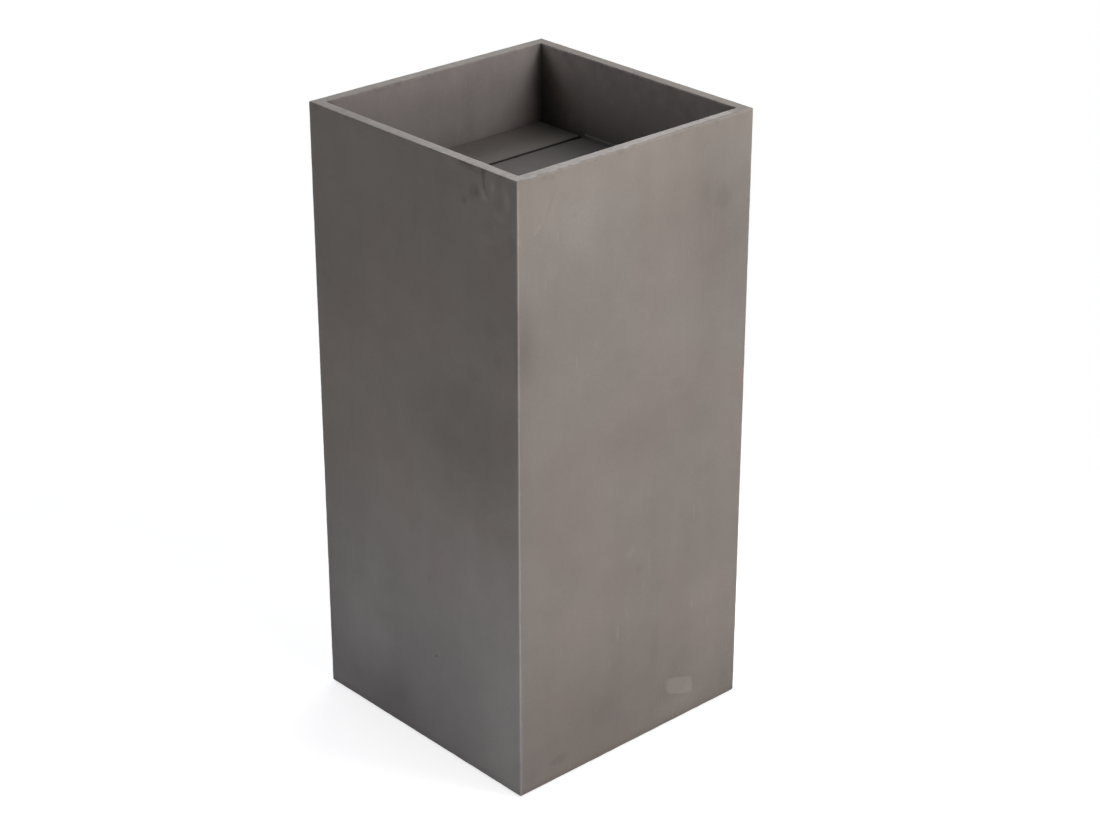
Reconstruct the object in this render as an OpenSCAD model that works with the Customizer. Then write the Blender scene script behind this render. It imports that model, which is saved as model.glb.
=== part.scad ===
// A free-standing planter: a tall square shell of thin cast concrete with a shallow tray in its top.
// The tray's floor is a slab set in mortar and, behind it, a loose plank that lifts out.
// X runs along the front and Y from front to back. The origin is on the ground under the centre.

/* [Shell] */
// Width of the shell across its front
shell_w = 355.6; // [300:0.1:420]
// Depth of the shell from front to back
shell_d = 355.6; // [300:0.1:420]
// Height of the shell without its feet
shell_h = 762; // [500:1:1000]
// Thickness of the walls
wall_t = 14; // [12:0.5:24]
// Thickness of the base
base_t = 24; // [18:1:40]
// Width of the eased edges of the shell
shell_ease = 1.5; // [0.5:0.1:3]

/* [Tray] */
// Depth of the tray below the rim
tray_depth = 98; // [60:1:200]
// Thickness of the fixed slab and of the loose plank
slab_t = 16; // [12:0.5:25]
// Width of the eased edges of the slab and the plank
slab_ease = 0.8; // [0.3:0.1:2]
// Width of the mortar joint around the fixed slab
joint_w = 6; // [5:0.5:9]
// Height of the cove that the mortar forms above the slab
cove_h = 4; // [3:0.5:10]
// Thickness of the mortar at the cove's thin edges
cove_lip = 0.4; // [0.2:0.1:1]
// Thickness of the bedding under the slab and of the pads under the plank
bed_t = 2; // [1:0.5:4]

/* [Loose plank] */
// Size of the plank from front to back
plank_d = 72.5; // [60:0.5:110]
// Gap between the slab and the plank
seam_gap = 4.5; // [2:0.1:8]
// Gap between the plank's ends and the walls
plank_end_gap = 3; // [1.5:0.1:5]
// Gap between the plank and the back wall
plank_back_gap = 3; // [1.5:0.1:5]
// Turn of the plank as it lies in its seat, in degrees, which widens the seam to the right
plank_turn = 0.3; // [0:0.05:0.4]
// Length of a setting pad under the plank
pad_l = 40; // [20:1:45]
// Width of a setting pad, and of a bedding strip under the slab
pad_w = 20; // [12:1:22]

/* [Ledges] */
// Gap between the ends of a ledge and the front and back walls
ledge_end_gap = 7; // [3:0.5:12]
// Width of each leg of a ledge
ledge_leg = 30; // [30:1:50]
// Thickness of the ledges
ledge_t = 3; // [2:0.5:4]
// Radius inside the bend of a ledge
bend_r = 3; // [1:0.5:4]
// Radius of the corners of a ledge
ledge_corner_r = 5; // [2:0.5:8]
// Screws in each ledge
screw_count = 3; // [2:1:5]
// Distance from a ledge's end to its first screw
screw_end = 30; // [20:1:60]

/* [Screws and sockets] */
// Diameter of the screws
screw_d = 6; // [5:1:6]
// Length of a screw under its head
screw_l = 10; // [8:1:11]
// Diameter of a screw's head
head_d = 10.5; // [9:0.5:12]
// Height of a screw's head
head_h = 3.3; // [3:0.1:4]
// Width of the hexagon in a screw's head, across its flats
hexagon_w = 4; // [3:0.5:4]
// Depth of that hexagon
hexagon_depth = 2; // [1:0.5:2.5]
// Diameter of a cast-in socket
socket_d = 10; // [9:0.5:12]
// Length of a cast-in socket
socket_l = 9.5; // [9.5:0.5:11]
// Diameter of the collar that holds a socket in the wall
collar_d = 14; // [13:0.5:18]
// Thickness of that collar
collar_t = 2; // [1:0.5:3]

/* [Drain] */
// Inner diameter of the drain sleeve
drain_d = 26; // [20:1:40]
// Thickness of the sleeve's wall and of its flange
sleeve_t = 3; // [2:0.5:4]
// Width of the sleeve's flange
sleeve_flange_w = 6; // [4:0.5:10]
// Length of the plug's stem in the sleeve
stem_l = 16; // [10:1:18]
// Thickness of the plug's flange
plug_flange_t = 4; // [3:0.5:6]
// How far the plug's flange covers the sleeve's flange
plug_cover_w = 6; // [4:0.5:8]
// Height of the plug's pull tab
tab_h = 18; // [16:1:25]
// Width of the pull tab
tab_w = 18; // [14:1:22]
// Thickness of the pull tab
tab_t = 4; // [3:0.5:6]
// Diameter of the hole in the pull tab
tab_hole_d = 8; // [4:0.5:9]

/* [Feet] */
// Diameter of a foot pad
foot_d = 40; // [25:1:50]
// Thickness of a foot pad
foot_t = 5; // [4:0.5:8]
// How far the foot pads stand out of the base
foot_proud = 2; // [1:0.5:3]
// Distance from the shell's sides to the centre of a foot pad
foot_inset = 45; // [40:1:80]
// Width of the eased edge of a foot pad
foot_ease = 1; // [0.5:0.1:1.5]

/* [Clearances] */
// Gap around pieces that are cast or glued into the concrete
cast_gap = 0.1; // [0.05:0.05:0.3]
// Gap around a screw in its cast-in socket
thread_gap = 0.05; // [0.02:0.01:0.1]
// Gap around a screw in a ledge
hole_gap = 0.3; // [0.2:0.1:0.5]
// Gap around the plug's stem in the sleeve
plug_gap = 0.3; // [0.2:0.1:0.5]

/* [Hidden] */

$fn = 96;
left = -1;
right = 1;
front = -1;
back = 1;

// A cut runs this far past the face that it opens
over = 1;

inner_w = shell_w - 2 * wall_t;
inner_d = shell_d - 2 * wall_t;

// Heights, from the ground up
base_top = foot_proud + base_t;
rim_top = foot_proud + shell_h;
tray_floor = rim_top - tray_depth;
slab_bottom = tray_floor - slab_t;
ledge_top = slab_bottom - bed_t;

// The plank lies against the back wall but for its gap, and the slab fills what is left
plank_w = inner_w - 2 * plank_end_gap;
plank_y = inner_d / 2 - plank_back_gap - plank_d / 2;
slab_w = inner_w - 2 * joint_w;
slab_back = plank_y - plank_d / 2 - seam_gap;
slab_front = -inner_d / 2 + joint_w;
slab_d = slab_back - slab_front;
slab_y = (slab_back + slab_front) / 2;

// Bedding strips and pads lie on the flat of the ledges, clear of the bend
bearing_margin = 0.5;
bearing_edge = max(joint_w, bend_r + ledge_t, plank_end_gap) + bearing_margin;
bearing_x = inner_w / 2 - bearing_edge - pad_w / 2;
bedding_l = slab_d - 2 * slab_ease;

ledge_l = inner_d - 2 * ledge_end_gap;
screw_z = ledge_top - (ledge_leg + bend_r + ledge_t) / 2;
screw_pitch = (ledge_l - 2 * screw_end) / (screw_count - 1);
screw_places = [for (i = [0 : screw_count - 1]) -ledge_l / 2 + screw_end + i * screw_pitch];
socket_run_out = 0.5;
socket_bore_l = screw_l - ledge_t + socket_run_out;

sleeve_r = drain_d / 2 + sleeve_t;
sleeve_flange_r = sleeve_r + sleeve_flange_w;
plug_r = drain_d / 2 + plug_cover_w;
stem_r = drain_d / 2 - plug_gap;
plug_ease = 1.5;

light_concrete = [0.56, 0.53, 0.50];
dark_concrete = [0.44, 0.42, 0.40];
mortar = [0.62, 0.60, 0.57];
steel = [0.70, 0.71, 0.72];
brass = [0.72, 0.60, 0.34];
pipe_grey = [0.35, 0.36, 0.38];
black_rubber = [0.10, 0.10, 0.10];

// The corners of a centred rectangle whose own corners are cut off at 45 degrees
function eased_outline(width, depth, ease) = [
    for (side = [[1, 1], [-1, 1], [-1, -1], [1, -1]])
        let (corner = [side.x * width / 2, side.y * depth / 2])
        let (along_x = corner - [side.x * ease, 0])
        let (along_y = corner - [0, side.y * ease])
        each side.x * side.y > 0 ? [along_y, along_x] : [along_x, along_y]
];

// Stands an outline's first axis along X and its second along Z, centred on Y
module stand_along_y(length) {
    rotate([90, 0, 0])
        linear_extrude(height = length, center = true)
            children();
}

// A centred block with all twelve edges eased
module eased_block(width, depth, height, ease) {
    intersection() {
        linear_extrude(height = height, center = true)
            polygon(eased_outline(width, depth, ease));
        stand_along_y(depth)
            polygon(eased_outline(width, height, ease));
        rotate(90)
            stand_along_y(width)
                polygon(eased_outline(depth, height, ease));
    }
}

// The section of a straight-sided hollow that widens by ease at its mouth
module mouth_section(width, bottom, top, ease) {
    polygon([
        [-width / 2, bottom],
        [width / 2, bottom],
        [width / 2, top - ease],
        [width / 2 + ease, top],
        [width / 2 + ease, top + over],
        [-width / 2 - ease, top + over],
        [-width / 2 - ease, top],
        [-width / 2, top - ease]
    ]);
}

module shell_hollow() {
    intersection() {
        stand_along_y(shell_d)
            mouth_section(inner_w, base_top, rim_top, shell_ease);
        rotate(90)
            stand_along_y(shell_w)
                mouth_section(inner_d, base_top, rim_top, shell_ease);
    }
}

// Puts its children at each screw of one ledge, with +Z going into the wall from its inner face
module at_screws(side) {
    for (y = screw_places)
        translate([side * inner_w / 2, y, screw_z])
            rotate([0, side * 90, 0])
                children();
}

// Puts its children under the shell at the centre of one foot
module at_foot(side, end) {
    translate([side * (shell_w / 2 - foot_inset), end * (shell_d / 2 - foot_inset), 0])
        children();
}

// A socket, or the hollow for it, which is wider by gap and starts before the wall's face
module socket_body(gap = 0, start = 0) {
    translate([0, 0, -start])
        cylinder(h = socket_l + start, r = socket_d / 2 + gap);
    translate([0, 0, socket_l - collar_t])
        cylinder(h = collar_t, r = collar_d / 2 + gap);
}

// A drain sleeve, or the hollow for it, which is wider by gap and runs past both faces of the base
module sleeve_body(gap = 0, past = 0) {
    translate([0, 0, foot_proud - past])
        cylinder(h = base_t + 2 * past, r = sleeve_r + gap);
    translate([0, 0, base_top - sleeve_t])
        cylinder(h = sleeve_t + past, r = sleeve_flange_r + gap);
}

module shell() {
    color(light_concrete)
        difference() {
            translate([0, 0, foot_proud + shell_h / 2])
                eased_block(shell_w, shell_d, shell_h, shell_ease);
            shell_hollow();
            sleeve_body(cast_gap, over);
            for (side = [left, right])
                at_screws(side)
                    socket_body(cast_gap, over);
            for (side = [left, right], end = [front, back])
                at_foot(side, end)
                    cylinder(h = foot_t, r = foot_d / 2 + cast_gap);
        }
}

module front_slab() {
    color(dark_concrete)
        translate([0, slab_y, slab_bottom + slab_t / 2])
            eased_block(slab_w, slab_d, slab_t, slab_ease);
}

module back_plank() {
    color(dark_concrete)
        translate([0, plank_y, slab_bottom + slab_t / 2])
            rotate(plank_turn)
                eased_block(plank_w, plank_d, slab_t, slab_ease);
}

// The mortar in a joint: the joint's own depth, and a hollow cove that climbs the wall at x = 0
module joint_section() {
    cove_r = min(joint_w, cove_h);
    square([joint_w, slab_t]);
    translate([0, slab_t])
        difference() {
            square([joint_w, cove_h]);
            translate([cove_r + cove_lip, cove_r + cove_lip])
                circle(r = cove_r);
            translate([cove_lip, cove_r + cove_lip])
                square([joint_w, cove_h]);
            translate([cove_r + cove_lip, cove_lip])
                square([joint_w, cove_h]);
        }
}

module side_joint() {
    translate([-inner_w / 2, 0, slab_bottom])
        translate([0, (slab_back - inner_d / 2) / 2, 0])
            stand_along_y(slab_back + inner_d / 2)
                joint_section();
}

module front_joint() {
    translate([0, -inner_d / 2, slab_bottom])
        rotate(90)
            stand_along_y(inner_w)
                joint_section();
}

module cove_bead() {
    color(mortar)
        union() {
            side_joint();
            mirror([1, 0, 0])
                side_joint();
            front_joint();
        }
}

module slab_bedding() {
    color(mortar)
        for (side = [left, right])
            translate([side * bearing_x, slab_y, ledge_top + bed_t / 2])
                cube([pad_w, bedding_l, bed_t], center = true);
}

module plank_pads() {
    color(black_rubber)
        for (side = [left, right])
            translate([side * bearing_x, plank_y, ledge_top + bed_t / 2])
                cube([pad_w, pad_l, bed_t], center = true);
}

// The bent section of a ledge, with its wall face at x = 0 and its top at z = 0
module ledge_section() {
    outer_r = bend_r + ledge_t;
    difference() {
        union() {
            translate([0, -ledge_leg])
                square([ledge_t, ledge_leg - outer_r]);
            translate([outer_r, -ledge_t])
                square([ledge_leg - outer_r, ledge_t]);
            intersection() {
                translate([outer_r, -outer_r])
                    circle(r = outer_r);
                translate([0, -outer_r])
                    square(outer_r);
            }
        }
        translate([outer_r, -outer_r])
            circle(r = bend_r);
    }
}

// One leg's outline seen flat: the free edge is at y = ledge_leg, and its two corners are round
module leg_outline() {
    translate([-ledge_l / 2, 0])
        square([ledge_l, ledge_leg - ledge_corner_r]);
    translate([-ledge_l / 2 + ledge_corner_r, 0])
        square([ledge_l - 2 * ledge_corner_r, ledge_leg]);
    for (end = [-1, 1])
        translate([end * (ledge_l / 2 - ledge_corner_r), ledge_leg - ledge_corner_r])
            circle(r = ledge_corner_r);
}

module ledge() {
    translate([-inner_w / 2, 0, ledge_top])
        intersection() {
            stand_along_y(ledge_l)
                ledge_section();
            translate([0, 0, -ledge_leg])
                rotate(-90)
                    linear_extrude(height = ledge_leg)
                        leg_outline();
            rotate([0, 90, 0])
                rotate(-90)
                    linear_extrude(height = ledge_leg)
                        leg_outline();
        }
}

module screw_holes(side) {
    at_screws(side)
        cylinder(h = 4 * ledge_t, r = screw_d / 2 + hole_gap, center = true);
}

module left_ledge() {
    color(steel)
        difference() {
            ledge();
            screw_holes(left);
        }
}

module right_ledge() {
    color(steel)
        difference() {
            mirror([1, 0, 0])
                ledge();
            screw_holes(right);
        }
}

// A round-headed screw through the ledge, with its shank along +Z and its head behind the ledge
module screw() {
    dome_r = (head_h * head_h + head_d * head_d / 4) / (2 * head_h);
    translate([0, 0, -ledge_t])
        cylinder(h = screw_l, r = screw_d / 2);
    translate([0, 0, -ledge_t - head_h])
        difference() {
            intersection() {
                cylinder(h = head_h, r = head_d / 2);
                translate([0, 0, dome_r])
                    sphere(r = dome_r);
            }
            translate([0, 0, -over])
                cylinder(h = hexagon_depth + over, r = hexagon_w / sqrt(3), $fn = 6);
        }
}

module ledge_screws() {
    color(steel)
        for (side = [left, right])
            at_screws(side)
                screw();
}

module wall_sockets() {
    color(brass)
        for (side = [left, right])
            at_screws(side)
                difference() {
                    socket_body();
                    translate([0, 0, -over])
                        cylinder(h = socket_bore_l + over, r = screw_d / 2 + thread_gap);
                }
}

module drain_sleeve() {
    color(pipe_grey)
        difference() {
            sleeve_body();
            cylinder(h = base_top + over, r = drain_d / 2);
        }
}

// The pull tab's outline: straight sides, a round top and a hole for a finger or a hook
module tab_outline() {
    difference() {
        union() {
            translate([-tab_w / 2, 0])
                square([tab_w, tab_h - tab_w / 2]);
            translate([0, tab_h - tab_w / 2])
                circle(r = tab_w / 2);
        }
        translate([0, tab_h - tab_w / 2])
            circle(r = tab_hole_d / 2);
    }
}

module drain_plug() {
    color(black_rubber)
        translate([0, 0, base_top]) {
            rotate_extrude()
                polygon([
                    [0, -stem_l],
                    [stem_r - plug_ease, -stem_l],
                    [stem_r, -stem_l + plug_ease],
                    [stem_r, 0],
                    [plug_r, 0],
                    [plug_r, plug_flange_t - plug_ease],
                    [plug_r - plug_ease, plug_flange_t],
                    [0, plug_flange_t]
                ]);
            translate([0, 0, plug_flange_t])
                stand_along_y(tab_t)
                    tab_outline();
        }
}

module foot(side, end) {
    color(black_rubber)
        at_foot(side, end)
            rotate_extrude()
                polygon([
                    [0, 0],
                    [foot_d / 2 - foot_ease, 0],
                    [foot_d / 2, foot_ease],
                    [foot_d / 2, foot_t],
                    [0, foot_t]
                ]);
}

shell();
front_slab();
back_plank();
cove_bead();
slab_bedding();
plank_pads();
left_ledge();
right_ledge();
ledge_screws();
wall_sockets();
drain_sleeve();
drain_plug();
foot(left, front);  // foot_front_left
foot(right, front);  // foot_front_right
foot(left, back);  // foot_back_left
foot(right, back);  // foot_back_right
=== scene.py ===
"""Looks of a tall square planter of thin cast concrete, with a shallow tray in its top.

Lengths are in metres. X runs along the front and Y from front to back. The origin is on the ground under the
centre. The casting, the slab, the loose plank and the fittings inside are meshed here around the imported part.
"""
import math
import random
from typing import NamedTuple

import bmesh
import bpy
import numpy as np
from mathutils import Matrix, Vector
from mathutils.geometry import delaunay_2d_cdt


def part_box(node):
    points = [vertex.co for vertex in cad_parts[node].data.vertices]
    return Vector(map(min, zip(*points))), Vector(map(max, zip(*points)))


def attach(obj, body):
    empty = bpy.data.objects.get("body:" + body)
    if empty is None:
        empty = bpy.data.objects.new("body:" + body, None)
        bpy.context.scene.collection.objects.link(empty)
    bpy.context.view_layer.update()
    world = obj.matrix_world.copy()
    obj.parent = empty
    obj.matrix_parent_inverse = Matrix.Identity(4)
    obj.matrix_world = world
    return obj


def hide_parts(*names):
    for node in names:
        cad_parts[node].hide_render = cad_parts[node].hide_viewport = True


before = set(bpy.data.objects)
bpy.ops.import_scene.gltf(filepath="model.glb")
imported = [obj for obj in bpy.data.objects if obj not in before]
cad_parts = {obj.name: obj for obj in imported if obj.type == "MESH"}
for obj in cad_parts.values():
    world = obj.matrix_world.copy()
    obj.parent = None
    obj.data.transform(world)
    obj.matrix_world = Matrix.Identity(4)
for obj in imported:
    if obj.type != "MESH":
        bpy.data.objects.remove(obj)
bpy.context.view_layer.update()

MM = 0.001

# The casting
WALL = 14 * MM
SHELL_EASE = 1.5 * MM
HOLLOW_FILLET = 2 * MM
CAST_GAP = 0.1 * MM

# The slab, and the loose plank, whose own size the box of its turned node doesn't give
SLAB_EASE = 0.8 * MM
PLANK_WIDTH = 321.6 * MM
PLANK_DEPTH = 72.5 * MM
PLANK_TURN = math.radians(0.3)
COVE_LIP = 0.4 * MM

# The fittings
SOCKET_RADIUS = 5 * MM
SOCKET_LENGTH = 9.5 * MM
COLLAR_RADIUS = 7 * MM
COLLAR_THICKNESS = 2 * MM
FLANGE_THICKNESS = 3 * MM
SLEEVE_RADIUS = 16 * MM
LEDGE_THICKNESS = 3 * MM
SCREW_RADIUS = 3 * MM
SCREW_LENGTH = 10 * MM
THREAD_PITCH = 1 * MM
SCREW_COUNT = 3
HEAD_RADIUS = 5.25 * MM
HEAD_HEIGHT = 3.3 * MM
HEXAGON_WIDTH = 4 * MM
HEXAGON_DEPTH = 2 * MM
FEET = ("foot_front_left", "foot_front_right", "foot_back_left", "foot_back_right")

SHELL_LOW, SHELL_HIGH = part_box("shell")
SLAB_LOW, SLAB_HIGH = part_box("front_slab")
PLANK_LOW, PLANK_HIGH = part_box("back_plank")
COVE_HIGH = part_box("cove_bead")[1]
FLANGE_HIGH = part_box("drain_sleeve")[1]
SOCKETS_LOW, SOCKETS_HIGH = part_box("wall_sockets")
HALF = SHELL_HIGH.x
HOLLOW_HALF = HALF - WALL
RIM = SHELL_HIGH.z
UNDERSIDE = SHELL_LOW.z
TRAY_FLOOR = SLAB_HIGH.z
HOLLOW_FLOOR = FLANGE_HIGH.z
SCREW_Z = (SOCKETS_LOW.z + SOCKETS_HIGH.z) / 2
SCREW_PITCH = (SOCKETS_HIGH.y - SOCKETS_LOW.y) / 2 - COLLAR_RADIUS


# Node trees

class Graph:
    """Adds nodes to a tree, so that a pattern reads from the top down."""

    def __init__(self, tree):
        self.tree = tree

    def add(self, kind, inputs=(), output=0, **settings):
        """Adds a node. Its inputs, by name or number, are filled with values or with other nodes' outputs."""
        node = self.tree.nodes.new(kind)
        for name, value in settings.items():
            setattr(node, name, value)
        for key, value in dict(inputs).items():
            if isinstance(value, bpy.types.NodeSocket):
                self.tree.links.new(value, node.inputs[key])
            else:
                node.inputs[key].default_value = value
        return node.outputs[output]

    def math(self, operation, a, b=0.0, c=0.0):
        return self.add("ShaderNodeMath", {0: a, 1: b, 2: c}, operation=operation)

    def chained(self, operation, values):
        result = values[0]
        for value in values[1:]:
            result = self.math(operation, result, value)
        return result

    def total(self, *values):
        return self.chained("ADD", values)

    def product(self, *values):
        return self.chained("MULTIPLY", values)

    def largest(self, *values):
        return self.chained("MAXIMUM", values)

    def minus(self, a, b):
        return self.math("SUBTRACT", a, b)

    def times_plus(self, value, factor, base):
        return self.math("MULTIPLY_ADD", value, factor, base)

    def vector(self, operation, a, b=(0, 0, 0)):
        return self.add("ShaderNodeVectorMath", {0: a, 1: b}, operation=operation)

    def scaled(self, vector, factor):
        return self.add("ShaderNodeVectorMath", {0: vector, 3: factor}, operation="SCALE")

    def length(self, vector):
        return self.add("ShaderNodeVectorMath", {0: vector}, "Value", operation="LENGTH")

    def parts(self, vector):
        return self.add("ShaderNodeSeparateXYZ", {0: vector}).node.outputs

    def upward(self, height):
        return self.add("ShaderNodeCombineXYZ", {"Z": height})

    def squeezed(self, vector, scale):
        return self.add("ShaderNodeMapping", {"Vector": vector, "Scale": scale})

    def carried(self, name):
        """A value that the mesh carries for each of its points, read in a finish."""
        return self.add("ShaderNodeAttribute", output="Fac", attribute_name=name)

    def noise(self, vector, scale, detail, seed):
        inputs = {"Vector": vector, "W": seed, "Scale": scale, "Detail": detail}
        return self.add("ShaderNodeTexNoise", inputs, noise_dimensions="4D")

    def centred(self, noise, amount):
        return self.product(self.minus(noise, 0.5), amount)

    def swing(self, vector, scale, amount, detail, seed):
        """Noise around nought that reaches about amount either way."""
        return self.centred(self.noise(vector, scale, detail, seed), self.product(amount, 3.0))

    def remap(self, value, low, high, to_low=0.0, to_high=1.0):
        inputs = {0: value, 1: low, 2: high, 3: to_low, 4: to_high}
        return self.add("ShaderNodeMapRange", inputs, interpolation_type="SMOOTHSTEP")

    def blend(self, share, a, b):
        """Goes from the colour a to b as the share grows. A plain colour is three numbers."""
        a, b = ((*colour, 1) if isinstance(colour, tuple) else colour for colour in (a, b))
        return self.add("ShaderNodeMix", {0: share, 6: a, 7: b}, 2, data_type="RGBA")


def new_tree(name, **inputs):
    """Starts a tree of shapes. Returns its graph and what it is given: a mesh, a finish and these inputs."""
    tree = bpy.data.node_groups.new(name, "GeometryNodeTree")
    for title, kind in {"mesh": "Geometry", "finish": "Material", **inputs}.items():
        tree.interface.new_socket(title, in_out="INPUT", socket_type="NodeSocket" + kind)
    tree.interface.new_socket("shape", in_out="OUTPUT", socket_type="NodeSocketGeometry")
    return Graph(tree), tree.nodes.new("NodeGroupInput").outputs


def close_tree(graph, geometry, finish):
    """Ends a tree in a plain smooth mesh with its finish on it."""
    solid = graph.add("GeometryNodeRealizeInstances", {"Geometry": geometry})
    smooth = graph.add("GeometryNodeSetShadeSmooth", {"Geometry": solid})
    finished = graph.add("GeometryNodeSetMaterial", {"Geometry": smooth, "Material": finish})
    graph.tree.links.new(finished, graph.tree.nodes.new("NodeGroupOutput").inputs[0])
    return graph.tree


def new_object(name, mesh):
    thing = bpy.data.objects.new(name, mesh)
    bpy.context.scene.collection.objects.link(thing)
    return thing


def grown(name, base, tree, **values):
    """Runs a tree over a mesh and returns an object with the plain mesh that comes of it."""
    maker = new_object(name + "_maker", base)
    modifier = maker.modifiers.new("shape", "NODES")
    modifier.node_group = tree
    for socket in tree.interface.items_tree:
        if socket.in_out == "INPUT" and socket.name in values:
            modifier[socket.identifier] = values[socket.name]
    depsgraph = bpy.context.evaluated_depsgraph_get()
    shaped = maker.evaluated_get(depsgraph)
    mesh = bpy.data.meshes.new_from_object(shaped, preserve_all_data_layers=True, depsgraph=depsgraph)
    bpy.data.objects.remove(maker)
    return new_object(name, mesh)


# Finishes

SHELL_TONES = ((0.249, 0.229, 0.205), (0.262, 0.227, 0.202))
# The slab's tones are painted darker than the plank's, as painted shade, so that the slab shows no brighter
# than the plank under these lamps.
SLAB_SHADED_TONES = ((0.102, 0.0935, 0.089), (0.107, 0.0945, 0.087))
PLANK_TONES = ((0.152, 0.142, 0.129), (0.155, 0.140, 0.125))
DRY_TOP_TONE = (0.257, 0.2325, 0.2025)
# A cooler, bluer tone for the left side low down.
COOL_LOW_LEFT_TONE = (0.243, 0.2265, 0.217)
HOLLOW_TONE = (0.253, 0.226, 0.211)
DUST_TONE = (0.430, 0.400, 0.372)
MORTAR_TONE = (0.175, 0.162, 0.148)
STEEL_TONE = (0.56, 0.56, 0.555)
BRASS_TONES = ((0.62, 0.45, 0.19), (0.42, 0.33, 0.20))
PIPE_TONES = ((0.105, 0.110, 0.118), (0.17, 0.165, 0.155))
RUBBER_TONES = ((0.017, 0.017, 0.018), (0.060, 0.057, 0.052))


def new_finish(name, **constants):
    """Starts a material, and returns it with its graph, its shader and the object's own coordinates."""
    material = bpy.data.materials.new(name)
    material.use_nodes = True
    graph = Graph(material.node_tree)
    shader = material.node_tree.nodes["Principled BSDF"]
    for socket, value in constants.items():
        shader.inputs[socket.replace("_", " ")].default_value = value
    return material, graph, shader, graph.add("ShaderNodeTexCoord", output="Object")


def paint(graph, shader, colour, roughness, relief, depth):
    """Links a pattern's colour, roughness and height into the shader."""
    bump = graph.add("ShaderNodeBump", {"Strength": 0.5, "Distance": depth, "Height": relief})
    for socket, value in {"Base Color": colour, "Roughness": roughness, "Normal": bump}.items():
        graph.tree.links.new(value, shader.inputs[socket])


def pinholes(graph, spot, scale, share, radius):
    """Small round holes at random places: 1 in a hole and 0 elsewhere. Scale is in cells per metre."""
    cells = graph.add("ShaderNodeTexVoronoi", {"Vector": spot, "Scale": scale}).node
    picked = graph.add("ShaderNodeSeparateColor", {0: cells.outputs["Color"]})
    reach = graph.remap(picked, 1 - share, 1.0, 0.0, radius * scale)
    depth = graph.math("DIVIDE", cells.outputs["Distance"], graph.largest(reach, 0.0001))
    return graph.remap(depth, 0.6, 1.0, 1.0, 0.0)


def upright_streaks(graph, spot, scale, seed):
    """Noise that is drawn out up and down, as water and trowels leave it."""
    return graph.noise(graph.squeezed(spot, (1, 1, 0.08)), scale, 3.0, seed)


def upright_ticks(graph, spot, scale, share, half_width):
    """Short upright strokes at random places, seven times as long as wide: 1 on a stroke and 0 elsewhere."""
    return pinholes(graph, graph.squeezed(spot, (1, 1, 1 / 7)), scale, share, half_width)


def cast_concrete(name, tones, seed, pale, clouds=0.05, marks=None, tint=None):
    """Concrete as it leaves a smooth mould: cloudy, faintly streaked, with fine grain and a few pinholes."""
    material, graph, shader, spot = new_finish(name, Specular_IOR_Level=0.3)
    brightness = graph.total(
        1.0,
        graph.swing(spot, 7, clouds, 4, seed),
        graph.swing(spot, 26, 0.8 * clouds, 3, seed + 1),
        graph.swing(spot, 230, 0.04, 3, seed + 2),
        graph.swing(spot, 1500, 0.05, 2, seed + 3),
        graph.centred(upright_streaks(graph, spot, 36, seed + 4), 0.12),
        graph.remap(upright_streaks(graph, spot, 90, seed + 5), 0.66, 0.80, 0, 0.10),
    )
    # The pinholes are painted darker: painted shade in them, with dirt.
    holes = pinholes(graph, spot, 110, 0.3, 0.5 * MM)
    specks = pinholes(graph, spot, 90, 0.6, 1.7 * MM)
    ticks = upright_ticks(graph, spot, 110, 0.7, 1.4 * MM)
    # The carried darkening is painted shade, mixed with dirt, in the tray's corners, seams and low down. Below
    # nought it is painted light, a paler band under the rim.
    carried_darkening = graph.carried("grime")
    patchy = graph.product(carried_darkening, graph.minus(1.1, carried_darkening))
    grime = graph.times_plus(graph.swing(spot, 60, 0.4, 3, seed + 10), patchy, carried_darkening)
    layers = ((holes, -0.35), (specks, -0.09), (ticks, 0.12), (graph.carried("wear"), pale), (grime, -0.85))
    for layer, change in layers:
        brightness = graph.product(brightness, graph.times_plus(layer, change, 1.0))
    if marks:
        brightness = graph.product(brightness, marks(graph, spot))
    base = graph.blend(graph.remap(graph.noise(spot, 6, 3, seed + 6), 0.35, 0.65), *tones)
    if tint:
        base = tint(graph, spot, base)
    roughness = graph.total(graph.swing(spot, 40, 0.06, 3, seed + 7), 0.7)
    relief = graph.total(
        graph.swing(spot, 1100, 0.2, 3, seed + 8),
        graph.swing(spot, 90, 0.5, 3, seed + 9),
        graph.product(holes, -2.0),
    )
    paint(graph, shader, graph.scaled(base, brightness), roughness, relief, 0.2 * MM)
    return material


MARK_DEPTH = 8 * MM
BROAD_MARK = 25


class Mark(NamedTuple):
    """One mark on the front or the left side. Lengths are in millimetres."""
    along: float
    height: float
    half_width: float
    half_height: float
    change: float  # how much paler it is, or darker below nought
    core: float = 0.3  # the share of its reach that it stays whole for, so near 1 its edge is crisp
    ragged: float = 0.35
    fall: float = 0.0  # how far it drops for each step along
    blocky: bool = False  # a rounded block in place of an oval


def cloud(*values):
    """A mark that fades away from its middle out."""
    return Mark(*values, core=0.0, ragged=0.25)


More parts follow.
